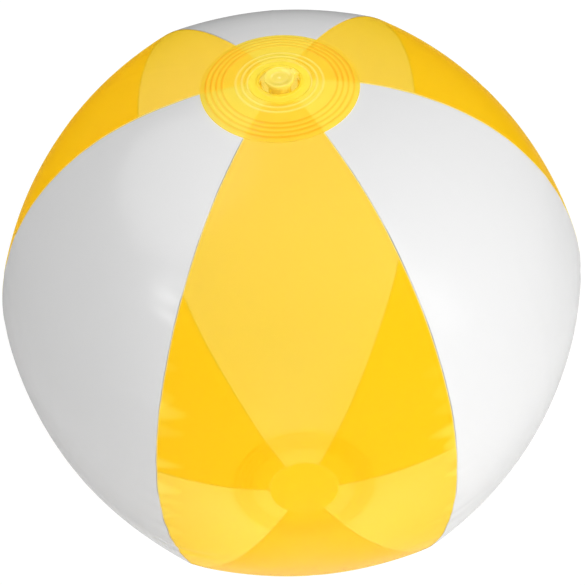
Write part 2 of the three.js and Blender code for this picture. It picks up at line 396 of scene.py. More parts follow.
@dataclass
class Seam:
    """The welded line between two panels, which strays a little and is gathered into small puckers.

    The gathered place and reach are shares of the length, the widths, reaches, heights and steps are the
    ranges that the puckers are drawn from, and the crease widths are shares of a pucker's width.
    """

    index: int
    gather: float
    first_seed: int = 1000
    pitch: float = 0.011
    length: float = 0.185
    height: float = 0.0006
    gathered_place: float = -0.25
    gathered_reach: float = 0.55
    least_gather: float = 0.3
    widths: Range = (0.0022, 0.0045)
    reaches: Range = (0.005, 0.013)
    heights: Range = (-1.0, 0.7)
    steps: Range = (0.55, 1.45)
    lift_fade: float = 1.5
    creased_place: float = 0.015
    creased_reach: float = 0.04
    crease_tip: float = 0.3
    crease_root: float = 0.9
    crease_sharpness: int = 4
    crease_gain: float = 1.5
    stray: float = 0.00022
    stray_reach: float = 0.014
    stray_waves: tuple[float, ...] = (0.034, 0.019, 0.0083)
    puckers: list[Pucker] = field(default_factory=list)
    phases: list[float] = field(default_factory=list)

    def __post_init__(self) -> None:
        """Spreads the puckers along the seam, the same way at every run."""
        chance = random.Random(self.first_seed + self.index)
        self.phases = [chance.uniform(0.0, math.tau) for _ in self.stray_waves]
        middle = self.gathered_place * self.length
        spread = self.gathered_reach * self.length
        place = -self.length
        while place < self.length:
            gathered = self.least_gather + math.exp(-(((place - middle) / spread) ** 2))
            pucker = Pucker(
                place=place,
                width=chance.uniform(*self.widths),
                reach=chance.uniform(*self.reaches),
                height=self.height * self.gather * gathered * chance.uniform(*self.heights),
            )
            self.puckers.append(pucker)
            place += self.pitch * chance.uniform(*self.steps)

    def lift(self, place: np.ndarray, distance: np.ndarray) -> np.ndarray:
        """Gives how far the puckers lift the film.

        Args:
            place: Places along the seam, from the equator.
            distance: Distances from the seam across the panel.

        Returns:
            Lifts along the skin's outward direction.
        """
        lift = np.zeros_like(place)
        for pucker in self.puckers:
            along = np.exp(-(((place - pucker.place) / pucker.width) ** 2))
            lift += pucker.height * along * np.exp(-((distance / pucker.reach) ** self.lift_fade))
        return lift

    def creases(self, place: np.ndarray, distance: np.ndarray) -> np.ndarray:
        """Gives where the film is drawn into creases, which taper away from the seam; their paleness is part
        stress whitening and part painted sheen.

        Args:
            place: Places along the seam, from the equator.
            distance: Distances from the seam across the panel.

        Returns:
            Shares from 0 to 1.
        """
        share = np.zeros_like(place)
        for pucker in self.puckers:
            left = np.clip(1.0 - distance / pucker.reach, 0.0, 1.0)
            width = pucker.width * (self.crease_tip + self.crease_root * left)
            along = np.exp(-(((place - pucker.place) / width) ** self.crease_sharpness))
            creased = math.exp(-(((pucker.place - self.creased_place) / self.creased_reach) ** 2))
            strength = min(1.0, self.crease_gain * abs(pucker.height) / self.height)
            share += along * np.sqrt(left) * creased * strength
        return np.clip(share, 0.0, 1.0)

    def sway(self, place: np.ndarray, distance: np.ndarray) -> np.ndarray:
        """Gives how far the seam strays sideways and takes the film with it.

        Args:
            place: Places along the seam, from the equator.
            distance: Distances from the seam across the panel.

        Returns:
            Shifts round the ball.
        """
        shift = np.zeros_like(place)
        for wave, phase in zip(self.stray_waves, self.phases):
            shift += np.sin(place / wave + phase) * wave / self.stray_waves[0]
        return self.stray * shift * np.exp(-((distance / self.stray_reach) ** 2))


@dataclass
class PanelBlank:
    """The smooth panel that all six are copied from, with its edges turned in and welded as fins."""

    shape: BallShape
    columns: int = 64
    rows: int = 300
    edge_crowding: float = 1.8
    seam_gap: float = 0.00004
    roll: float = 0.0004
    roll_under_cap: float = 0.0002
    fin: float = 0.00035
    turn_reach: float = 0.006

    def build(self) -> Piece:
        """Models the panel with its middle along +X, from a flat grid.

        Returns:
            The blank, which keeps for each vertex its seam, its distance and the outward direction.
        """
        bpy.ops.object.select_all(action="DESELECT")
        bpy.ops.mesh.primitive_grid_add(x_subdivisions=self.columns, y_subdivisions=self.rows, size=2.0)
        blank = bpy.context.active_object
        flat = vertex_places(blank)
        edges = np.abs(flat[:, 0]) > 1.0 - TOLERANCE
        self._inflate(blank, flat)
        edit_selected(blank, edges)
        bpy.ops.mesh.extrude_edges_move()
        shrink = 1.0 - self.fin / self.shape.seam_radius
        centre = (0.0, 0.0, self.shape.centre_height)
        bpy.ops.transform.resize(value=(shrink, shrink, shrink), center_override=centre)
        bpy.ops.object.mode_set(mode="OBJECT")
        return blank

    def _inflate(self, blank: Piece, flat: np.ndarray) -> None:
        """Bends the flat grid to the blown-up panel and rolls its edges in.

        Args:
            blank: A grid from -1 to 1, with x across the panel and y along it.
            flat: The grid's vertices.
        """
        shape = self.shape
        low_end = -math.acos(shape.bottom_end_radius / shape.seam_radius)
        high_end = math.acos(shape.top_end_radius / shape.seam_radius)
        angle = low_end + (high_end - low_end) * (flat[:, 1] + 1.0) / 2.0
        side = np.sign(flat[:, 0])
        arc_radius, half_angle, _ = shape.arc(angle)
        half_length = arc_radius * half_angle
        inwards = (1.0 - np.abs(flat[:, 0])) ** self.edge_crowding
        distance = self.seam_gap + (half_length - self.seam_gap) * inwards
        share = side * (1.0 - distance / half_length)
        inner = smoothstep(distance, 0.0, self.turn_reach)[:, None]
        outward = shape.normal(angle, share) * inner + shape.seam_outward(angle, side) * (1.0 - inner)
        outward /= np.linalg.norm(outward, axis=1, keepdims=True)
        radius = shape.seam_radius * np.cos(angle)
        free = shape.free_of_cap(radius)
        roll = self.roll_under_cap + (self.roll - self.roll_under_cap) * free
        left = np.maximum(roll - distance, 0.0)
        dip = roll - np.sqrt(roll**2 - left**2)
        move_vertices(blank, shape.point(angle, share) - outward * dip[:, None])
        write_values(blank, "seam_distance", distance)
        write_values(blank, "seam_place", shape.seam_radius * angle)
        write_values(blank, "seam_side", side)
        write_values(blank, "outward", outward)


@dataclass
class Panel:
    """One film panel: a copy of the blank, puckered along its two seams."""

    node: str
    index: int
    colour: FilmColour
    shape: BallShape
    seams: tuple[Seam, Seam]
    wave: float = 0.00022
    wave_counts: range = range(2, 7)
    waves_along: Range = (0.6, 1.6)
    waves_across: Range = (1.2, 2.8)
    calm_reach: float = 0.012

    def build(self, blank: Piece, outside: Material, inside: Material) -> Piece:
        """Copies the blank, puckers it and puts it in the place of its CAD node.

        Args:
            blank: The smooth panel.
            outside: The finish of the film's outer face.
            inside: The finish of its inner face.

        Returns:
            The finished piece.
        """
        pick(blank)
        bpy.ops.object.duplicate()
        piece = bpy.context.active_object
        self._pucker(piece)
        piece.data.transform(Matrix.Rotation(WHOLE_PANEL * self.index - math.pi / 2.0, 4, "Z"))
        piece.data.materials.append(outside)
        piece.data.materials.append(inside)
        apply_modifier(piece, "SOLIDIFY", thickness=FILM, offset=-1.0, material_offset=1)
        finish_piece(piece, self.node.replace("panel", "film"), self.colour.value)
        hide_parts(self.node)
        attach(piece, "shell")
        return piece

    def _pucker(self, piece: Piece) -> None:
        """Gathers the film along its seams and gives it faint waves.

        Args:
            piece: The copy of the blank.
        """
        places = vertex_places(piece)
        distance = take_values(piece, "seam_distance", keep=True)
        place = take_values(piece, "seam_place")
        side = take_values(piece, "seam_side")
        outward = take_values(piece, "outward")
        first, second = self.seams
        left = side < 0.0
        lift = np.where(left, first.lift(place, distance), second.lift(place, distance))
        lift += self._film_waves(place, distance * side)
        shift = np.where(left, first.sway(place, distance), second.sway(place, distance))
        creases = np.where(left, first.creases(place, distance), second.creases(place, distance))
        write_values(piece, "crease", creases)
        turn = np.where(left, -HALF_PANEL, HALF_PANEL)
        sideways = np.stack((-np.sin(turn), np.cos(turn), np.zeros_like(turn)), axis=1)
        radius = np.hypot(places[:, 0], places[:, 1])
        free = self.shape.free_of_cap(radius)[:, None]
        move_vertices(piece, places + free * (outward * lift[:, None] + sideways * shift[:, None]))

    def _film_waves(self, place: np.ndarray, across: np.ndarray) -> np.ndarray:
        """Gives the film's faint, long waves, which die out towards the seams.

        Args:
            place: Places along the seam.
            across: Distances from the nearer seam, below 0 on the panel's left half.

        Returns:
            Lifts along the skin's outward direction.
        """
        chance = random.Random(self.index)
        lift = np.zeros_like(place)
        for count in self.wave_counts:
            ahead = chance.uniform(*self.waves_along) * count * place / self.shape.seam_radius
            aside = chance.uniform(*self.waves_across) * count * np.abs(across) / self.shape.seam_radius
            lift += np.sin(ahead + chance.uniform(0.0, math.tau)) * np.sin(aside) / count
        return self.wave * lift * smoothstep(np.abs(across), 0.0, self.calm_reach)


@dataclass(frozen=True)
class PressedRing:
    """A ring pressed into a cap by the welding tool: its radius, half width and height, in metres."""

    radius: float
    half_width: float
    height: float


@dataclass
class EndCap:
    """A round film cap welded over the panel ends, with pressed rings."""

    node: str
    pole: Pole
    shape: BallShape
    inner_radius: float
    rings: tuple[PressedRing, ...]
    over_panels: float = 0.0001
    step_drop: float = 0.00022
    step_before: float = 0.0004
    step_past: float = 0.001
    seam_dip: float = 0.00005
    seam_width: float = 0.0011
    seam_fade: float = 0.002
    fine_radius: float = 0.0235
    segments: int = 192
    fine_step: float = 0.00026
    plain_step: float = 0.0005

    def build(self, material: Material) -> Piece:
        """Models the cap and puts it in the place of its CAD node.

        Args:
            material: The film's finish.

        Returns:
            The finished piece.
        """
        profile = self._profile()
        if self.pole is Pole.BOTTOM:
            profile.append((0.0, profile[-1][1]))
        piece = revolve(profile, self.segments, Ends.OPEN)
        self._press_over_seams(piece)
        if self.pole is Pole.BOTTOM:
            piece.data.transform(Matrix.Rotation(math.pi, 4, "X"))
        piece.data.transform(Matrix.Translation((0.0, 0.0, self.shape.centre_height)))
        self._face_outwards(piece)
        apply_modifier(piece, "SOLIDIFY", thickness=FILM, offset=-1.0)
        finish_piece(piece, self.node + "_film", FilmColour.YELLOW.value, material)
        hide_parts(self.node)
        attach(piece, "shell")
        return piece

    def _profile(self) -> Profile:
        """Gives the rings of the outer face, as radius and height over the ball's centre.

        Returns:
            The profile from the rim inwards, close together where the weld rings are.
        """
        fine_count = round((self.shape.cap_radius - self.fine_radius) / self.fine_step)
        plain_count = round((self.fine_radius - self.inner_radius) / self.plain_step)
        fine = np.linspace(self.shape.cap_radius, self.fine_radius, fine_count, endpoint=False)
        plain = np.linspace(self.fine_radius, self.inner_radius, plain_count + 1)
        profile = []
        for radius in (*fine.tolist(), *plain.tolist()):
            height = self.shape.pole_height(radius) + self._rise(radius)
            if self.pole is Pole.BOTTOM:
                height = min(height, self.shape.centre_height)
            profile.append((radius, height))
        return profile

    def _rise(self, radius: float) -> float:
        """Gives the outer face's height above the smooth skin.

        Args:
            radius: Distance from the axis.

        Returns:
            The rise over the panels' outer face.
        """
        rise = self.over_panels + FILM
        for ring in self.rings:
            rise += ring.height * math.exp(-(((radius - ring.radius) / ring.half_width) ** 2))
        past_end = np.array(self._panel_end() - radius)
        return rise - self.step_drop * float(smoothstep(past_end, -self.step_before, self.step_past))

    def _panel_end(self) -> float:
        """Gives the radius at which the panels end under this cap."""
        return self.shape.top_end_radius if self.pole is Pole.TOP else self.shape.bottom_end_radius

    def _press_over_seams(self, piece: Piece) -> None:
        """Lets the seams under the cap show as faint dips in it.

        Args:
            piece: The cap, with its pole still at +Z.
        """
        places = vertex_places(piece)
        radius = np.hypot(places[:, 0], places[:, 1])
        around = np.arctan2(places[:, 1], places[:, 0])
        nearest = np.round(around / WHOLE_PANEL) * WHOLE_PANEL
        aside = radius * (around - nearest)
        end = self._panel_end()
        over = smoothstep(radius, end, end + self.seam_fade)
        places[:, 2] -= over * self.seam_dip * np.exp(-((aside / self.seam_width) ** 2))
        move_vertices(piece, places)

    def _face_outwards(self, piece: Piece) -> None:
        """Turns the open skin's normals away from the ball's centre.

        Args:
            piece: The cap in its place.
        """
        centre = Vector((0.0, 0.0, self.shape.centre_height))
        face = piece.data.polygons[0]
        if face.normal.dot(face.center - centre) < 0.0:
            piece.data.flip_normals()


@dataclass
class Shell:
    """The blown-up skin: six panels with their seams, and the two caps."""

    shape: BallShape
    hole_radius: float
    gathers: tuple[float, ...] = (1.0, 0.4, 0.4, 0.15, 0.15, 0.4)
    weld_width: float = 0.0005
    weld_height: float = 0.00028
    print_width: float = 0.0005
    print_height: float = 0.00018
    valve_rings: tuple[PressedRing, ...] = (
        PressedRing(radius=0.0096, half_width=0.0006, height=0.0006),
        PressedRing(radius=0.0145, half_width=0.0007, height=0.0005),
    )
    foot_centre_radius: float = 0.001
    panel_names: tuple[str, ...] = (
        "yellow_front", "white_right", "yellow_right", "white_back", "yellow_left", "white_left"
    )

    def build(self, finishes: Finishes) -> list[Piece]:
        """Builds the panels and the caps.

        Args:
            finishes: The materials of all pieces.

        Returns:
            The finished pieces.
        """
        return self._panels(finishes) + self._caps(finishes)

    def _panels(self, finishes: Finishes) -> list[Piece]:
        """Builds the six panels, each between two seams.

        Args:
            finishes: The materials of all pieces.

        Returns:
            The panels, in order round the ball from the front one.
        """
        faces = {
            FilmColour.YELLOW: (finishes.yellow, finishes.yellow),
            FilmColour.WHITE: (finishes.white, finishes.white_inside),
        }
        seams = [Seam(index, gather) for index, gather in enumerate(self.gathers)]
        blank = PanelBlank(self.shape).build()
        panels = []
        for index, name in enumerate(self.panel_names):
            colour = FilmColour.YELLOW if name.startswith("yellow") else FilmColour.WHITE
            pair = (seams[index], seams[(index + 1) % PANEL_COUNT])
            panel = Panel("panel_" + name, index, colour, self.shape, pair)
            panels.append(panel.build(blank, *faces[colour]))
        bpy.data.objects.remove(blank)
        return panels

    def _caps(self, finishes: Finishes) -> list[Piece]:
        """Builds the top cap round the valve and the bottom cap.

        Args:
            finishes: The materials of all pieces.

        Returns:
            The two caps.
        """
        welds = tuple(PressedRing(radius, self.weld_width, self.weld_height) for radius in WELD_RADII)
        prints = tuple(PressedRing(radius, self.print_width, self.print_height) for radius in PRINT_RADII)
        rings = welds + self.valve_rings + prints
        hole = self.hole_radius
        top = EndCap("top_cap", Pole.TOP, self.shape, hole, rings, fine_radius=hole)
        bottom = EndCap("bottom_cap", Pole.BOTTOM, self.shape, self.foot_centre_radius, welds)
        return [top.build(finishes.cap), bottom.build(finishes.foot)]


@dataclass
class Valve:
    """The soft moulded valve: flange, funnel, stem with lug, plug with strap, and check flap.

    The dish rings are shares of the dish's radius, with heights over its floor. The spigot's round part is a
    share of its depth and its tip one of its radius. The strap bends between two shares of its length.
    """

    shape: BallShape
    strap_azimuth: float = math.radians(30.0)
    bore_radius: float = 0.0035
    stem_radius: float = 0.005
    collar_radius: float = 0.006
    collar_height: float = 0.0012
    bead_height: float = 0.0011
    plug_radius: float = 0.0066
    plug_thickness: float = 0.0014
    plug_rim: float = 0.0013
    plug_dish: float = 0.0005
    dish_slope: float = 0.0005
    dish_fillet: float = 0.0001
    dish_rings: tuple[tuple[float, float], ...] = ((0.6, 0.0), (0.35, 0.0002), (0.12, 0.00028))
    spigot_depth: float = 0.0045
    spigot_steps: int = 7
    spigot_round: float = 0.93
    spigot_tip: float = 0.6
    hinge_reach: float = 0.0076
    hinge_height: float = 0.0008
    lug_reach: float = 0.0081
    lug_thickness: float = 0.0012
    strap_width: float = 0.004
    strap_share: float = 0.46
    strap_thickness: float = 0.0007
    strap_columns: int = 20
    strap_rows: int = 6
    strap_sink: float = 0.25
    strap_gap: float = 0.0001
    strap_root: float = 0.0008
    strap_head: float = 0.0006
    strap_rounding_steps: int = 2
    bend_from: float = 0.25
    bend_to: float = 0.75
    hole_radius: float = 0.0089
    funnel_film: float = 0.0006
    funnel_bow: float = 0.0006
    funnel_steps: int = 14
    flap_inset: float = 0.0003
    flap_slope: float = 0.0002
    tab_reach: float = 0.0006
    gap: float = 0.0003
    rounding: float = 0.0002
    rounding_steps: int = 3
    sharp_angle: float = math.radians(40.0)
    segments: int = 96

    def build(self, finishes: Finishes) -> list[Piece]:
        """Builds the valve's pieces from the flange down to the flap.

        Args:
            finishes: The materials of all pieces.

        Returns:
            The finished pieces.
        """
        material = finishes.moulding
        return [
            self._flange(material),
            self._funnel(finishes.funnel),
            self._stem(material),
            self._plug(material),
            self._strap(material),
            self._flap(material),
        ]

    def _dress(self, piece: Piece, node: str, material: Material) -> Piece:
        """Rounds a moulded piece's rims, turns its +X to the strap's side and names it.

        Args:
            piece: The modelled object.
            node: The CAD node that it stands for.
            material: The moulding's finish.

        Returns:
            The same piece.
        """
        edges = {"limit_method": "ANGLE", "angle_limit": self.sharp_angle}
        apply_modifier(piece, "BEVEL", width=self.rounding, segments=self.rounding_steps, **edges)
        piece.data.transform(Matrix.Rotation(self.strap_azimuth, 4, "Z"))
        finish_piece(piece, node + "_moulding", "valve_plastic", material)
        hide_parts(node)
        return piece

    def _pull(self, piece: Piece, chosen: np.ndarray, reach: float) -> None:
        """Extrudes some faces along X.

        Args:
            piece: The object to change.
            chosen: One truth value for each vertex.
            reach: How far the faces go.
        """
        edit_selected(piece, chosen)
        bpy.ops.mesh.extrude_region_move(TRANSFORM_OT_translate={"value": (reach, 0.0, 0.0)})
        bpy.ops.object.mode_set(mode="OBJECT")

    def _flange(self, material: Material) -> Piece:
        """Models the ring that is welded under the top cap.

        Args:
            material: The moulding's finish.

        Returns:
            The finished piece.
        """
        low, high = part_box("valve_flange")
        rise = self.shape.pole_height(self.hole_radius) - self.shape.pole_height(high.x)
        profile = [
            (self.hole_radius, low.z + rise),
            (high.x, low.z),
            (high.x, high.z - rise),
            (self.hole_radius, high.z),
        ]
        piece = self._dress(revolve(profile, self.segments, Ends.JOINED), "valve_flange", material)
        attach(piece, "shell")
        return piece

    def _funnel(self, material: Material) -> Piece:
        """Models the thin funnel that turns inside out when the stem pops out.

        Args:
            material: The funnel's finish.

        Returns:
            The finished piece.
        """
        low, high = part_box("valve_skirt")
        film = self.funnel_film
        foot = self.stem_radius + self.gap
        mouth = self.hole_radius - film
        inner_face = []
        outer_face = []
        for step in range(self.funnel_steps):
            share = step / self.funnel_steps
            radius = foot + (mouth - foot) * share + self.funnel_bow * math.sin(math.pi * share)
            height = low.z + share * (high.z - low.z - film)
            outer_face.append((radius + film, height))
            inner_face.append((radius, height + film))
        rim = [
            (self.hole_radius, high.z - film),
            (high.x, high.z - film),
            (high.x, high.z),
            (mouth, high.z),
        ]
        profile = [(foot, low.z), *outer_face, *rim, *reversed(inner_face)]
        piece = self._dress(revolve(profile, self.segments, Ends.JOINED), "valve_skirt", material)
        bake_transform(piece)
        return piece

    def _stem(self, material: Material) -> Piece:
        """Models the tube with its collar, its bead and the lug for the strap.

        Args:
            material: The moulding's finish.

        Returns:
            The finished piece.
        """
        low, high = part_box("valve_stem")
        shoulder = high.z - self.collar_height
        profile = [
            (self.bore_radius, low.z),
            (self.collar_radius, low.z),
            (self.collar_radius, low.z + self.bead_height),
            (self.stem_radius, low.z + self.bead_height),
            (self.stem_radius, shoulder),
            (self.collar_radius, shoulder),
            (self.collar_radius, high.z),
            (self.bore_radius, high.z),
        ]
        piece = revolve(profile, self.segments, Ends.JOINED)
        places = vertex_places(piece)
        on_collar = np.hypot(places[:, 0], places[:, 1]) > self.collar_radius - TOLERANCE
        on_collar &= places[:, 2] > shoulder - TOLERANCE
        strap_side = (places[:, 0] > 0.0) & (np.abs(places[:, 1]) < self.strap_width / 2.0 + TOLERANCE)
        self._pull(piece, on_collar & strap_side, self.lug_reach - self.collar_radius)
        self._dress(piece, "valve_stem", material)
        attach(piece, "stem")
        return piece

    def _spigot_radius(self, height: float) -> float:
        """Gives how wide the spigot may be to swing out of the bore, at a height over the stem's rim."""
        reach = self.hinge_reach + self.bore_radius - self.gap
        room = reach**2 + self.hinge_height**2 - (height - self.hinge_height) ** 2
        return math.sqrt(room) - self.hinge_reach

    def _plug(self, material: Material) -> Piece:
        """Models the stopper with its dished head and its tapered spigot.

        Args:
            material: The moulding's finish.

        Returns:
            The finished piece.
        """
        rim = self.shape.crown_height
        bottom = rim + self.gap
        top = bottom + self.plug_thickness
        profile = [(self.spigot_tip * self._spigot_radius(-self.spigot_depth), rim - self.spigot_depth)]
        for step in range(self.spigot_steps + 1):
            height = -self.spigot_round * self.spigot_depth * (1.0 - step / self.spigot_steps)
            profile.append((self._spigot_radius(height), rim + height))
        dish = self.plug_radius - self.plug_rim
        floor = top - self.plug_dish
        profile += [
            (self._spigot_radius(0.0), bottom),
            (self.plug_radius, bottom),
            (self.plug_radius, top),
            (dish, top),
            (dish - self.dish_slope, floor + self.dish_fillet),
        ]
        profile += [(share * dish, floor + rise) for share, rise in self.dish_rings]
        piece = self._dress(revolve(profile, self.segments, Ends.FILLED), "valve_plug", material)
        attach(piece, "plug")
        return piece

    def _strap(self, material: Material) -> Piece:
        """Models the strap that bends from the stem's lug over to the plug's rim.

        Args:
            material: The moulding's finish.

        Returns:
            The finished piece.
        """
        rim = self.shape.crown_height
        bpy.ops.object.select_all(action="DESELECT")
        bpy.ops.mesh.primitive_grid_add(
            x_subdivisions=self.strap_columns, y_subdivisions=self.strap_rows, size=2.0
        )
        piece = bpy.context.active_object
        flat = vertex_places(piece)
        along = (flat[:, 0] + 1.0) / 2.0
        turn = np.clip((along - self.bend_from) / (self.bend_to - self.bend_from), 0.0, 1.0) * math.pi
        radius = (self.hinge_height + self.lug_thickness * self.strap_sink) / 2.0
        middle = self.lug_reach + self.strap_gap
        lower_share = np.maximum(self.bend_from - along, 0.0) / self.bend_from
        upper_share = np.maximum(along - self.bend_to, 0.0) / (1.0 - self.bend_to)
        upper_end = upper_share * (middle - self.plug_radius + self.strap_head)
        x = middle + radius * np.sin(turn) - lower_share * self.strap_root - upper_end
        y = flat[:, 1] * self.strap_width * self.strap_share
        z = rim + self.hinge_height - radius - radius * np.cos(turn)
        move_vertices(piece, np.stack((x, y, z), axis=1))
        apply_modifier(piece, "SOLIDIFY", thickness=self.strap_thickness, offset=0.0)
        steps = self.strap_rounding_steps
        apply_modifier(piece, "BEVEL", width=self.rounding, segments=steps, limit_method="ANGLE")
        piece.data.transform(Matrix.Rotation(self.strap_azimuth, 4, "Z"))
        finish_piece(piece, "plug_strap", "valve_plastic", material)
        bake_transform(piece)
        return piece

    def _flap(self, material: Material) -> Piece:
        """Models the flap under the stem, with the tab on which it bends.

        Args:
            material: The moulding's finish.

        Returns:
            The finished piece.
        """
        low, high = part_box("check_flap")
        radius = high.x
        profile = [
            (radius - self.flap_inset, low.z),
            (radius, low.z + self.flap_slope),
            (radius, high.z),
        ]
        piece = revolve(profile, self.segments, Ends.FILLED)
        places = vertex_places(piece)
        on_rim = np.hypot(places[:, 0], places[:, 1]) > radius - TOLERANCE
        tab_side = (places[:, 0] < 0.0) & (np.abs(places[:, 1]) < self.strap_width / 2.0)
        self._pull(piece, on_rim & tab_side, -self.tab_reach)
        piece = self._dress(piece, "check_flap", material)
        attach(piece, "flap")
        return piece


class ShaderTree:
    """A short way to add nodes to a material's or a group's tree and to link them."""

    def __init__(self, tree: bpy.types.NodeTree) -> None:
        """Keeps the tree that nodes are added to."""
        self.tree = tree

    def add(self, kind: str, **inputs: object) -> Node:
        """Adds a node and sets or links its inputs.

        Args:
            kind: The node's type name.
            **inputs: Values or sockets by input name, with underscores for spaces.

        Returns:
            The new node.
        """
        return self._fill(self.tree.nodes.new(kind), inputs)

    def add_group(self, group: bpy.types.NodeTree, **inputs: object) -> Node:
        """Places a shader group and sets or links its inputs.

        Args:
            group: The group's tree.
            **inputs: Values or sockets by input name, with underscores for spaces.

        Returns:
            The new node.
        """
        node = self.tree.nodes.new("ShaderNodeGroup")
        node.node_tree = group
        return self._fill(node, inputs)

    def _fill(self, node: Node, inputs: dict[str, object]) -> Node:
        """Sets or links some inputs of a node.

        Args:
            node: The node to change.
            inputs: Values or sockets by input name, with underscores for spaces.

        Returns:
            The same node.
        """
        for name, value in inputs.items():
            self.set(node, name.replace("_", " "), value)
        return node

    def set(self, node: Node, name: str | int, value: object) -> None:
        """Sets one input of a node, or links a socket to it.

        Args:
            node: The node to change.
            name: The input's name or number.
            value: A plain value, or the socket that feeds the input.
        """
        if isinstance(value, Socket):
            self.tree.links.new(value, node.inputs[name])
        else:
            node.inputs[name].default_value = value

    def maths(self, operation: str, *values: float | Socket) -> Socket:
        """Adds a Math node and gives its result.

        Args:
            operation: The Math node's operation.
            *values: Its inputs in order, as numbers or sockets.

        Returns:
            The result's socket.
        """
        node = self.tree.nodes.new("ShaderNodeMath")
        node.operation = operation
        for index, value in enumerate(values):
            self.set(node, index, value)
        return node.outputs[0]

    def limit(self, value: Socket, low: float, high: float | Socket) -> Socket:
        """Keeps a value from falling below a low limit or rising over a high one."""
        return self.maths("MINIMUM", self.maths("MAXIMUM", value, low), high)

    def mix_colour(self, factor: Socket, first: Colour | Socket, second: Colour) -> Socket:
        """Adds a colour mix and gives its result.

        Args:
            factor: Share of the second colour.
            first: Colour at factor 0, or the socket that gives it.
            second: Colour at factor 1.

        Returns:
            The mixed colour's socket.
        """
        node = self.tree.nodes.new("ShaderNodeMix")
        node.data_type = "RGBA"
        self.set(node, "Factor", factor)
        self.set(node, MIX_FIRST, (*first, 1.0) if isinstance(first, tuple) else first)
        self.set(node, MIX_SECOND, (*second, 1.0))
        return node.outputs[MIX_RESULT]

    def mix_shader(self, factor: float | Socket, first: Node, second: Node) -> Node:
        """Mixes two shaders.

        Args:
            factor: Share of the second shader.
            first: Shader at factor 0.
            second: Shader at factor 1.

        Returns:
            The mixing node.
        """
        node = self.tree.nodes.new("ShaderNodeMixShader")
        for index, value in enumerate((factor, first.outputs[0], second.outputs[0])):
            self.set(node, index, value)
        return node

    def attribute(self, name: str) -> Socket:
        """Gives the values that a mesh keeps under a name.

        Args:
            name: The attribute's name.

        Returns:
            The values' socket.
        """
        node = self.tree.nodes.new("ShaderNodeAttribute")
        node.attribute_name = name
        return node.outputs["Fac"]

    def near_seam(self, reach: float, gain: float = 1.8) -> Socket:
        """Gives a mask that falls from 1 near a seam to 0 at some distance from it.

        Args:
            reach: The distance with mask 0.
            gain: What the mask would be at the seam without its limit of 1.

        Returns:
            The mask's socket.
        """
        left = self.maths("SUBTRACT", 1.0, self.maths("DIVIDE", self.attribute("seam_distance"), reach))
        return self.limit(self.maths("MULTIPLY", left, gain), 0.0, 1.0)

    def place(self) -> Socket:
        """Gives the place of the shaded point in the ball's frame."""
        return self.add("ShaderNodeTexCoord").outputs["Object"]

    def axis_distance(self) -> Socket:
        """Gives the distance of the shaded point from the ball's axis.

        Returns:
            The distance's socket.
        """
        place = self.add("ShaderNodeSeparateXYZ", Vector=self.place()).outputs
        ahead = self.maths("MULTIPLY", place["X"], place["X"])
        return self.maths("SQRT", self.maths("MULTIPLY_ADD", place["Y"], place["Y"], ahead))


def new_group(name: str, inputs: tuple[str, ...], outputs: tuple[str, ...]) -> bpy.types.NodeTree:
    """Makes an empty shader group with number sockets.

    Args:
        name: The group's name.
        inputs: Names of its inputs.
        outputs: Names of its outputs.

    Returns:
        The group's tree.
    """
    group = bpy.data.node_groups.new(name, "ShaderNodeTree")
    for socket in inputs:
        group.interface.new_socket(socket, in_out="INPUT", socket_type="NodeSocketFloat")
    for socket in outputs:
        group.interface.new_socket(socket, in_out="OUTPUT", socket_type="NodeSocketFloat")
    return group


def film_surface_group() -> bpy.types.NodeTree:
    """Builds the group for the faint ripples and the uneven gloss of soft plastic.

    Returns:
        The group, the same one for every finish.
    """
    name = "film_surface"
    if name in bpy.data.node_groups:
        return bpy.data.node_groups[name]
    group = new_group(name, ("Gloss", "Ripple Scale"), ("Roughness", "Height"))
    tree = ShaderTree(group)
    given = tree.add("NodeGroupInput").outputs
    place = tree.place()
    ripples = tree.add("ShaderNodeTexNoise", Vector=place, Scale=given["Ripple Scale"], Detail=2.0)
    smears = tree.add("ShaderNodeTexNoise", Vector=place, Scale=SMEAR_SCALE, Detail=4.0, Roughness=0.6)
    uneven = tree.maths("MULTIPLY_ADD", smears.outputs[0], SMEAR_DEPTH, -SMEAR_DEPTH / 2.0)
    roughness = tree.maths("ADD", given["Gloss"], uneven)
    tree.add("NodeGroupOutput", Roughness=roughness, Height=ripples.outputs[0])
    return group


def weld_rings_group() -> bpy.types.NodeTree:
    """Builds the group that marks evenly spaced rings round the ball's axis, such as the weld rings.

    Returns:
        The group, the same one for every film.
    """
    name = "weld_rings"
    if name in bpy.data.node_groups:
        return bpy.data.node_groups[name]
    group = new_group(name, ("First Radius", "Pitch", "Last Radius", "Half Width"), ("Mask",))
    tree = ShaderTree(group)
    given = tree.add("NodeGroupInput").outputs
    radius = tree.axis_distance()
    past = tree.maths("SUBTRACT", radius, given["First Radius"])
    off = tree.maths("PINGPONG", past, tree.maths("MULTIPLY", given["Pitch"], 0.5))
    near = tree.maths("SUBTRACT", 1.0, tree.maths("DIVIDE", off, given["Half Width"]))
    inner = tree.maths("SUBTRACT", given["First Radius"], given["Half Width"])
    outer = tree.maths("ADD", given["Last Radius"], given["Half Width"])
    past_inner = tree.maths("GREATER_THAN", radius, inner)
    within = tree.maths("MULTIPLY", past_inner, tree.maths("LESS_THAN", radius, outer))
    tree.add("NodeGroupOutput", Mask=tree.maths("MULTIPLY", tree.maths("MAXIMUM", near, 0.0), within))
    return group


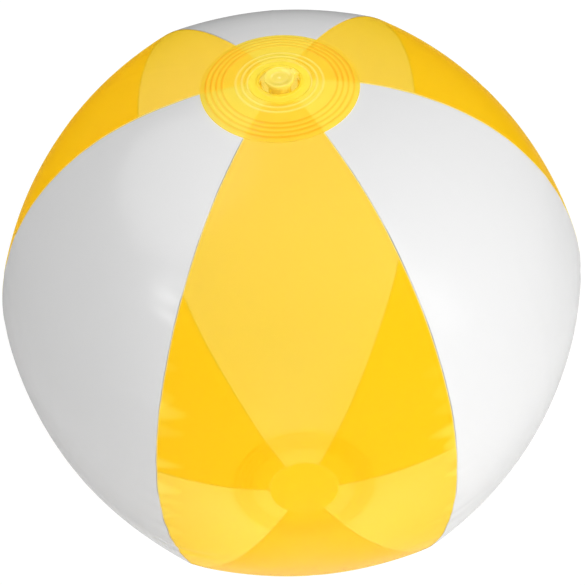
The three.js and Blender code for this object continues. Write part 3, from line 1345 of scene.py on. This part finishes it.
@dataclass(frozen=True)
class Finish:
    """What all the ball's plastics share: gloss over faint ripples, and a wall that is one skin to light."""

    name: str
    colour: Colour
    gloss: float = 0.16
    shine: float = 0.5
    refraction: float = 1.45
    ripple_scale: float = 55.0
    ripple_strength: float = 0.05
    ripple_height: float = 0.002
    turns_inside_out: bool = False

    def build(self) -> Material:
        """Builds the material, whose far side lets light pass unless the piece turns inside out.

        Returns:
            The finished material.
        """
        material = bpy.data.materials.new(self.name)
        material.use_nodes = True
        material.node_tree.nodes.clear()
        tree = ShaderTree(material.node_tree)
        film = self._film(tree, self._surface(tree))
        if not self.turns_inside_out:
            far_side = tree.add("ShaderNodeNewGeometry").outputs["Backfacing"]
            film = tree.mix_shader(far_side, film, tree.add("ShaderNodeBsdfTransparent"))
        tree.add("ShaderNodeOutputMaterial", Surface=film.outputs[0])
        return material

    def _surface(self, tree: ShaderTree) -> Node:
        """Adds the glossy surface with its ripples.

        Args:
            tree: The material's tree.

        Returns:
            The Principled node.
        """
        group = film_surface_group()
        film = tree.add_group(group, Gloss=self.gloss, Ripple_Scale=self.ripple_scale).outputs
        bump = tree.add("ShaderNodeBump", Height=film["Height"])
        tree.set(bump, "Strength", self.ripple_strength)
        tree.set(bump, "Distance", self.ripple_height)
        return tree.add(
            "ShaderNodeBsdfPrincipled",
            Base_Color=(*self.colour, 1.0),
            Roughness=film["Roughness"],
            Normal=bump.outputs[0],
            Specular_IOR_Level=self.shine,
            IOR=self.refraction,
        )

    def _film(self, tree: ShaderTree, surface: Node) -> Node:
        """Gives the film's shader, here the plain surface."""
        return surface


@dataclass(frozen=True)
class ClearFilm(Finish):
    """See-through coloured plastic: part of the light passes and takes its tint, the rest is scattered."""

    tint: Colour = (1.0, 0.55, 0.165)
    deep_tint: Colour = (1.0, 0.57, 0.01)
    haze: float = 0.5
    refraction: float = 1.4
    through: float = 0.35
    slant_power: float = 2.0
    rim_refraction: float = 1.1

    def _film(self, tree: ShaderTree, surface: Node) -> Node:
        """Mixes the tinted, clear part of the film with its scattering surface.

        Args:
            tree: The material's tree.
            surface: The Principled node.

        Returns:
            The film's shader.
        """
        slant = tree.add("ShaderNodeLayerWeight", Blend=0.5).outputs["Facing"]
        tint = tree.mix_colour(tree.maths("POWER", slant, self.slant_power), self.tint, self.deep_tint)
        tint, haze = self._marks(tree, surface, tint)
        clear = tree.add("ShaderNodeBsdfTransparent", Color=tint)
        glow = tree.add("ShaderNodeBsdfTranslucent", Color=(*self.colour, 1.0))
        cloudy = tree.mix_shader(self.through, surface, glow)
        fresnel = tree.add("ShaderNodeFresnel", IOR=self.rim_refraction).outputs[0]
        return tree.mix_shader(tree.maths("MAXIMUM", fresnel, haze), clear, cloudy)

    def _marks(self, tree: ShaderTree, surface: Node, tint: Socket) -> tuple[Socket, float | Socket]:
        """Gives the tint and the haze, here without any marks."""
        return tint, self.haze


@dataclass(frozen=True)
class WeldedFilm(ClearFilm):
    """Clear film with the darker rings that the welding tool left near the poles."""

    weld_tint: Colour = (0.90, 0.24, 0.0)
    weld_colour: Colour = (1.0, 0.42, 0.0)
    weld_half_width: float = 0.0007

    def _rings(self, tree: ShaderTree, radii: tuple[float, ...], pitch: float, half_width: float) -> Socket:
        """Adds the mask of some rings round the axis.

        Args:
            tree: The material's tree.
            radii: The rings' radii.
            pitch: Distance from ring to ring.
            half_width: Half the width of a ring.

        Returns:
            The mask's socket.
        """
        rings = tree.add_group(
            weld_rings_group(),
            First_Radius=min(radii),
            Pitch=pitch,
            Last_Radius=max(radii),
            Half_Width=half_width,
        )
        return rings.outputs["Mask"]

    def _marks(self, tree: ShaderTree, surface: Node, tint: Socket) -> tuple[Socket, float | Socket]:
        """Adds the weld rings to the tint and to the surface's colour.

        Args:
            tree: The material's tree.
            surface: The Principled node, which takes the rings' colour.
            tint: The tint of the clear part.

        Returns:
            The tint with the rings, and the haze.
        """
        weld = self._rings(tree, WELD_RADII, WELD_PITCH, self.weld_half_width)
        tree.set(surface, "Base Color", tree.mix_colour(weld, self.colour, self.weld_colour))
        return tree.mix_colour(weld, tint, self.weld_tint), self.haze


@dataclass(frozen=True)
class CapFilm(WeldedFilm):
    """The top cap's film, with two fine pale rings printed round the valve."""

    print_colour: Colour = (1.0, 0.88, 0.22)
    print_haze: float = 0.25
    print_half_width: float = 0.0008

    def _marks(self, tree: ShaderTree, surface: Node, tint: Socket) -> tuple[Socket, float | Socket]:
        """Adds the printed rings to the colour and to the haze.

        Args:
            tree: The material's tree.
            surface: The Principled node, which takes the rings' colours.
            tint: The tint of the clear part.

        Returns:
            The tint, and the haze with the print.
        """
        tint, _ = super()._marks(tree, surface, tint)
        printed = self._rings(tree, PRINT_RADII, PRINT_PITCH, self.print_half_width)
        welded = surface.inputs["Base Color"].links[0].from_socket
        tree.set(surface, "Base Color", tree.mix_colour(printed, welded, self.print_colour))
        return tint, tree.maths("MULTIPLY_ADD", printed, self.print_haze, self.haze)


@dataclass(frozen=True)
class FootFilm(WeldedFilm):
    """The bottom cap's film, clearer where it is pressed flat onto the panel ends."""

    pressed_from: float = 0.0163
    pressed_tint: Colour = (1.0, 0.99, 0.88)
    pressed_haze: float = 0.08

    def _marks(self, tree: ShaderTree, surface: Node, tint: Socket) -> tuple[Socket, float | Socket]:
        """Clears the tint and the haze where the film is pressed flat.

        Args:
            tree: The material's tree.
            surface: The Principled node, which takes the weld rings' colour.
            tint: The tint of the clear part.

        Returns:
            The tint and the haze, by their place.
        """
        pressed = tree.maths("GREATER_THAN", tree.axis_distance(), self.pressed_from)
        cleared = tree.mix_colour(pressed, tint, self.pressed_tint)
        tint, _ = super()._marks(tree, surface, cleared)
        return tint, tree.maths("MULTIPLY_ADD", pressed, self.pressed_haze - self.haze, self.haze)


@dataclass(frozen=True)
class PanelFilm(WeldedFilm):
    """The clear film of a panel, with pale creases along its seams, part stress whitening and part painted
    sheen, and a painted highlight on its edges at the seams.
    """

    # Pale creases: part stress whitening of the film, part painted sheen.
    crease_whitening_and_sheen_colour: Colour = (1.0, 0.94, 0.22)
    crease_whitening_and_sheen_haze: float = 0.4
    # Painted highlight: a pale, hazy line on the yellow film's edge at each seam.
    painted_seam_shading: Colour = (1.0, 0.95, 0.35)
    edge_reach: float = 0.0008
    painted_highlight_haze: float = 0.85

    def _marks(self, tree: ShaderTree, surface: Node, tint: Socket) -> tuple[Socket, float | Socket]:
        """Adds the pale creases (part stress whitening, part painted sheen) and the painted highlight on the
        edges to the colour and to the haze.

        Args:
            tree: The material's tree.
            surface: The Principled node, which takes the marks' colours.
            tint: The tint of the clear part.

        Returns:
            The tint and the haze with the marks.
        """
        tint, _ = super()._marks(tree, surface, tint)
        edge = tree.near_seam(self.edge_reach)
        crease = tree.attribute("crease")
        welded = surface.inputs["Base Color"].links[0].from_socket
        # The pale creases, part stress whitening and part painted sheen.
        creased = tree.mix_colour(crease, welded, self.crease_whitening_and_sheen_colour)
        # The painted highlight along the seam edge.
        tree.set(surface, "Base Color", tree.mix_colour(edge, creased, self.painted_seam_shading))
        haze = tree.maths("MULTIPLY_ADD", crease, self.crease_whitening_and_sheen_haze, self.haze)
        return tint, tree.maths("MAXIMUM", haze, tree.maths("MULTIPLY", edge, self.painted_highlight_haze))


@dataclass(frozen=True)
class SolidFilm(Finish):
    """The outer face of opaque film, painted paler under the top cap as painted light, and with painted grey
    shade in places along its seams.
    """

    # Painted light: the film under the top cap is given a paler colour to make up for the light that the cap
    # takes from it.
    painted_light_under_cap: Colour = (0.97, 0.93, 0.94)
    cap_radius: float = 0.0352
    cap_from: float = 0.13
    # Painted shade: a thin grey line on the white film beside each seam, broken up by noise.
    painted_seam_shading: Colour = (0.42, 0.42, 0.41)
    edge_reach: float = 0.0005
    stretch_scale: float = 42.0
    stretch_gain: float = 4.0
    stretch_shift: float = -1.4
    stretch_least: float = 0.15

    def _covered(self, tree: ShaderTree) -> Socket:
        """Gives the mask of the film under the top cap.

        Args:
            tree: The material's tree.

        Returns:
            The mask's socket.
        """
        place = tree.add("ShaderNodeSeparateXYZ", Vector=tree.place()).outputs
        upper = tree.maths("GREATER_THAN", place["Z"], self.cap_from)
        return tree.maths("MULTIPLY", upper, tree.maths("LESS_THAN", tree.axis_distance(), self.cap_radius))

    def _film(self, tree: ShaderTree, surface: Node) -> Node:
        """Colours the surface by its place, with painted light under the top cap and painted shade along the
        seams.

        Args:
            tree: The material's tree.
            surface: The Principled node.

        Returns:
            The film's shader.
        """
        covered = self._covered(tree)
        # Painted light under the top cap.
        colour = tree.mix_colour(covered, self.colour, self.painted_light_under_cap)
        noise = tree.add("ShaderNodeTexNoise", Vector=tree.place(), Scale=self.stretch_scale, Detail=1.0)
        stretches = tree.maths("MULTIPLY_ADD", noise.outputs[0], self.stretch_gain, self.stretch_shift)
        stretches = tree.limit(stretches, self.stretch_least, 1.0)
        # Painted shade along the seams, left off under the top cap.
        edge = tree.maths("MULTIPLY", tree.near_seam(self.edge_reach), tree.maths("SUBTRACT", 1.0, covered))
        edge = tree.maths("MULTIPLY", edge, stretches)
        tree.set(surface, "Base Color", tree.mix_colour(edge, colour, self.painted_seam_shading))
        return surface


@dataclass(frozen=True)
class GlowingFilm(SolidFilm):
    """The inner face of opaque film, which glows with the light that comes through."""

    # The inner face has no painted seam shade: its seam colour is as pale as the face.
    painted_seam_shading: Colour = (0.98, 0.98, 0.98)
    through: Colour = (0.98, 0.98, 0.98)
    scatter: float = 0.85
    scatter_under_cap: float = 0.25

    def _film(self, tree: ShaderTree, surface: Node) -> Node:
        """Mixes the surface with the light from behind, of which less comes through under the top cap.

        Args:
            tree: The material's tree.
            surface: The Principled node.

        Returns:
            The film's shader.
        """
        super()._film(tree, surface)
        glow = tree.add("ShaderNodeBsdfTranslucent", Color=(*self.through, 1.0))
        less = self.scatter_under_cap - self.scatter
        share = tree.maths("MULTIPLY_ADD", self._covered(tree), less, self.scatter)
        return tree.mix_shader(share, surface, glow)


@dataclass(frozen=True)
class Finishes:
    """The materials of all pieces."""

    yellow: Material
    white: Material
    white_inside: Material
    cap: Material
    foot: Material
    moulding: Material
    funnel: Material

    @classmethod
    def make(cls) -> Finishes:
        """Builds every material once.

        Returns:
            The materials.
        """
        return cls(
            yellow=PanelFilm("yellow_film", colour=(1.0, 0.86, 0.006)).build(),
            # Painted light and shade: the white film's outer face has a greyer colour, and its inner face a
            # paler one, than the same film has, so that the ball's inside looks brighter.
            white=SolidFilm("white_film", colour=(0.75, 0.75, 0.75), gloss=0.2, shine=0.4).build(),
            white_inside=GlowingFilm("white_film_inside", colour=(0.98, 0.98, 0.98), shine=0.1).build(),
            cap=CapFilm(
                "cap_film",
                colour=(1.0, 0.78, 0.06),
                weld_colour=(1.0, 0.60, 0.02),
                weld_tint=(1.0, 0.83, 0.27),
                tint=(1.0, 0.94, 0.42),
                deep_tint=(1.0, 0.88, 0.3),
                haze=0.48,
                through=0.15,
                refraction=1.45,
            ).build(),
            foot=FootFilm(
                "foot_film",
                colour=(1.0, 0.74, 0.05),
                weld_colour=(1.0, 0.50, 0.0),
                weld_tint=(1.0, 0.62, 0.15),
                tint=(1.0, 0.86, 0.3),
                deep_tint=(1.0, 0.80, 0.2),
                haze=0.48,
            ).build(),
            moulding=ClearFilm(
                "valve_moulding",
                colour=(1.0, 0.88, 0.16),
                tint=(1.0, 0.86, 0.36),
                deep_tint=(1.0, 0.80, 0.2),
                haze=0.75,
                through=0.1,
                refraction=1.65,
                gloss=0.1,
            ).build(),
            funnel=ClearFilm(
                "valve_funnel",
                colour=(1.0, 0.90, 0.2),
                tint=(1.0, 0.90, 0.40),
                deep_tint=(1.0, 0.87, 0.30),
                haze=0.12,
                through=0.25,
                gloss=0.12,
                turns_inside_out=True,
            ).build(),
        )


@dataclass
class SoftLamp:
    """A lamp with a soft, round or stretched face that looks at the ball."""

    name: str
    place: Vector
    size: float
    watts: float
    use: LampUse = LampUse.LIGHT
    stretch: float = 1.0

    def build(self, target: Vector) -> None:
        """Adds the lamp, turned to its target.

        Args:
            target: The point that it looks at.
        """
        lamp = bpy.data.lights.new(self.name, "AREA")
        lamp.shape = "ELLIPSE"
        lamp.size = self.size
        lamp.size_y = self.size * self.stretch
        lamp.energy = self.watts
        holder = bpy.data.objects.new(self.name, lamp)
        holder.location = self.place
        holder.rotation_euler = (target - self.place).to_track_quat("-Z", "Y").to_euler()
        holder.visible_glossy = self.use is LampUse.SHEEN
        holder.visible_diffuse = self.use is LampUse.LIGHT
        holder.visible_transmission = self.use is LampUse.LIGHT
        bpy.context.scene.collection.objects.link(holder)


@dataclass
class Studio:
    """Pale floor, soft lamps and the camera at the photograph's angle."""

    shape: BallShape
    elevation: float = math.radians(44.26)
    azimuth: float = math.radians(-1.01)
    roll: float = math.radians(3.48)
    distance: float = 2.195
    image_side: float = 585.0
    focal_pixels: float = 4817.8
    centre_right: float = -0.17
    centre_down: float = 0.92
    sensor_mm: float = 36.0
    clip_end: float = 50.0
    floor_side: float = 12.0
    floor_drop: float = 0.0002
    floor_colour: Colour = (0.86, 0.86, 0.86)
    floor_roughness: float = 0.9
    floor_glow: float = 0.1
    table_glow: float = 0.72
    table_radius: float = 0.13
    table_aside: float = -0.018
    table_ahead: float = -0.03
    floor_white: float = 1.05
    floor_shown: float = 0.9
    sky: float = 0.30
    sky_shown: float = 1.0
    sky_mirrored: float = 0.03
    table_mirrored: float = 0.36
    right_mirrored: float = 0.22
    table_reach: float = 2.0
    table_from: float = 0.4
    table_span: float = 0.3
    side_gain: float = 4.0
    spot_height: float = 0.8
    spot_radius: float = 0.0352
    spot_watts: float = 4.2
    spot_blend: float = 0.15
    spot_size: float = 0.005
    film_bounces: int = 32

    def build(self) -> None:
        """Adds everything round the ball."""
        self._floor()
        self._sky()
        self._camera()
        target = Vector((0.0, 0.0, self.shape.centre_height))
        sheen = LampUse.SHEEN
        for lamp in (
            SoftLamp("key_lamp", Vector((1.9, -1.35, 1.95)), size=1.8, watts=52.0),
            SoftLamp("front_lamp", Vector((0.15, -2.7, 0.75)), size=1.4, watts=22.5),
            SoftLamp("left_lamp", Vector((-1.39, 0.43, 2.03)), size=2.55, watts=20.0),
            SoftLamp("left_backdrop_lamp", Vector((-1.4, 1.9, 0.25)), size=1.7, watts=18.5),
            SoftLamp("right_backdrop_lamp", Vector((1.4, 1.9, 0.25)), size=1.7, watts=18.5),
            SoftLamp("left_umbrella", Vector((-1.32, 0.41, 1.94)), size=2.42, watts=30.0, use=sheen),
            SoftLamp("left_glint", Vector((-1.93, -0.75, 1.14)), size=0.36, watts=2.4, use=sheen),
            SoftLamp(
                "right_glint", Vector((2.48, -0.82, 0.87)), size=0.34, watts=3.6, use=sheen, stretch=4.4
            ),
            SoftLamp("valve_glint", Vector((0.05, 1.79, 2.0)), size=0.2, watts=0.8, use=sheen),
        ):
            lamp.build(target)
        self._cap_spot()
        bpy.context.scene.view_settings.view_transform = "Standard"
        bpy.context.scene.cycles.transparent_max_bounces = self.film_bounces

    def _cap_spot(self) -> None:
        """Adds the narrow spot that lifts the top cap and the valve."""
        lamp = bpy.data.lights.new("cap_spot", "SPOT")
        lamp.energy = self.spot_watts
        lamp.spot_size = 2.0 * math.atan2(self.spot_radius, self.spot_height)
        lamp.spot_blend = self.spot_blend
        lamp.shadow_soft_size = self.spot_size
        holder = bpy.data.objects.new("cap_spot", lamp)
        holder.location = (0.0, 0.0, 2.0 * self.shape.centre_height + self.spot_height)
        holder.visible_glossy = False
        bpy.context.scene.collection.objects.link(holder)

    def _floor(self) -> None:
        """Adds the floor: a light table under the ball, plain white to the camera and clear from below."""
        bpy.ops.object.select_all(action="DESELECT")
        centre = (self.table_aside, self.table_ahead, -self.floor_drop)
        bpy.ops.mesh.primitive_plane_add(size=self.floor_side, location=centre)
        floor = bpy.context.active_object
        floor.name = "floor"
        floor.visible_glossy = False
        material = bpy.data.materials.new("pale_floor")
        material.use_nodes = True
        material.node_tree.nodes.clear()
        tree = ShaderTree(material.node_tree)
        past = tree.maths("DIVIDE", tree.axis_distance(), self.table_radius)
        under = tree.maths("MAXIMUM", tree.maths("SUBTRACT", 1.0, past), 0.0)
        shader = tree.add(
            "ShaderNodeBsdfPrincipled",
            Base_Color=(*self.floor_colour, 1.0),
            Roughness=self.floor_roughness,
            Emission_Color=PLAIN_WHITE,
            Emission_Strength=tree.maths("MULTIPLY_ADD", under, self.table_glow, self.floor_glow),
        )
        white = tree.add("ShaderNodeEmission", Strength=self.floor_white)
        seen = tree.add("ShaderNodeLightPath").outputs["Is Camera Ray"]
        shown = tree.mix_shader(tree.maths("MULTIPLY", seen, self.floor_shown), shader, white)
        below = tree.add("ShaderNodeNewGeometry").outputs["Backfacing"]
        whole = tree.mix_shader(below, shown, tree.add("ShaderNodeBsdfTransparent"))
        tree.add("ShaderNodeOutputMaterial", Surface=whole.outputs[0])
        floor.data.materials.append(material)

    def _sky(self) -> None:
        """Sets the even light from all round, what the film mirrors of it and the white behind the ball."""
        world = bpy.data.worlds.new("studio_sky")
        world.use_nodes = True
        tree = ShaderTree(world.node_tree)
        background = world.node_tree.nodes["Background"]
        background.inputs["Color"].default_value = PLAIN_WHITE
        rays = tree.add("ShaderNodeLightPath").outputs
        ahead = tree.add("ShaderNodeTexCoord").outputs["Generated"]
        heading = tree.add("ShaderNodeSeparateXYZ", Vector=ahead).outputs
        start = -self.table_from / self.table_span
        down = tree.maths("MULTIPLY_ADD", heading["Z"], -1.0 / self.table_span, start)
        turned = tree.maths("MINIMUM", tree.maths("MULTIPLY", heading["X"], self.side_gain), 1.0)
        aside = tree.maths("MINIMUM", tree.maths("ABSOLUTE", turned), 1.0)
        down = tree.limit(down, 0.0, tree.maths("SUBTRACT", self.table_reach, aside))
        table = tree.maths("MULTIPLY", tree.maths("MULTIPLY", down, down), self.table_mirrored)
        right = tree.maths("MULTIPLY", tree.maths("MAXIMUM", turned, 0.0), self.right_mirrored)
        change = tree.maths("ADD", table, self.sky_mirrored - self.sky)
        mirrored = tree.maths("MULTIPLY_ADD", right, down, change)
        light = tree.maths("MULTIPLY_ADD", rays["Is Glossy Ray"], mirrored, self.sky)
        light = tree.maths("MULTIPLY_ADD", rays["Is Camera Ray"], self.sky_shown - self.sky, light)
        tree.set(background, "Strength", light)
        bpy.context.scene.world = world

    def _camera(self) -> None:
        """Adds the camera, as the photograph's was: far off, looking down, a little tilted."""
        flat = math.cos(self.elevation)
        aside, ahead = math.sin(self.azimuth), math.cos(self.azimuth)
        back = Vector((aside * flat, -ahead * flat, math.sin(self.elevation)))
        level = Vector((ahead, aside, 0.0))
        upright = back.cross(level)
        right = level * math.cos(self.roll) - upright * math.sin(self.roll)
        up = level * math.sin(self.roll) + upright * math.cos(self.roll)
        centre = Vector((0.0, 0.0, self.shape.centre_height))
        lens = bpy.data.cameras.new("camera")
        lens.sensor_width = self.sensor_mm
        lens.lens = self.focal_pixels / self.image_side * self.sensor_mm
        lens.shift_x = -self.centre_right / self.image_side
        lens.shift_y = self.centre_down / self.image_side
        lens.clip_end = self.clip_end
        camera = bpy.data.objects.new("camera", lens)
        turned = Matrix((right, up, back)).transposed().to_4x4()
        camera.matrix_world = Matrix.Translation(centre + back * self.distance) @ turned
        bpy.context.scene.collection.objects.link(camera)
        bpy.context.scene.camera = camera


def main() -> None:
    """Builds the finishes, the ball and the studio, and reports each piece."""
    logging.basicConfig(level=logging.INFO, format="%(name)s: %(message)s")
    shape = BallShape.from_frame()
    finishes = Finishes.make()
    valve = Valve(shape)
    pieces = Shell(shape, valve.hole_radius).build(finishes) + valve.build(finishes)
    for piece in pieces:
        LOG.info("%s: %d faces", piece.name, len(piece.data.polygons))
    Studio(shape).build()


if __name__ == "__main__":
    main()
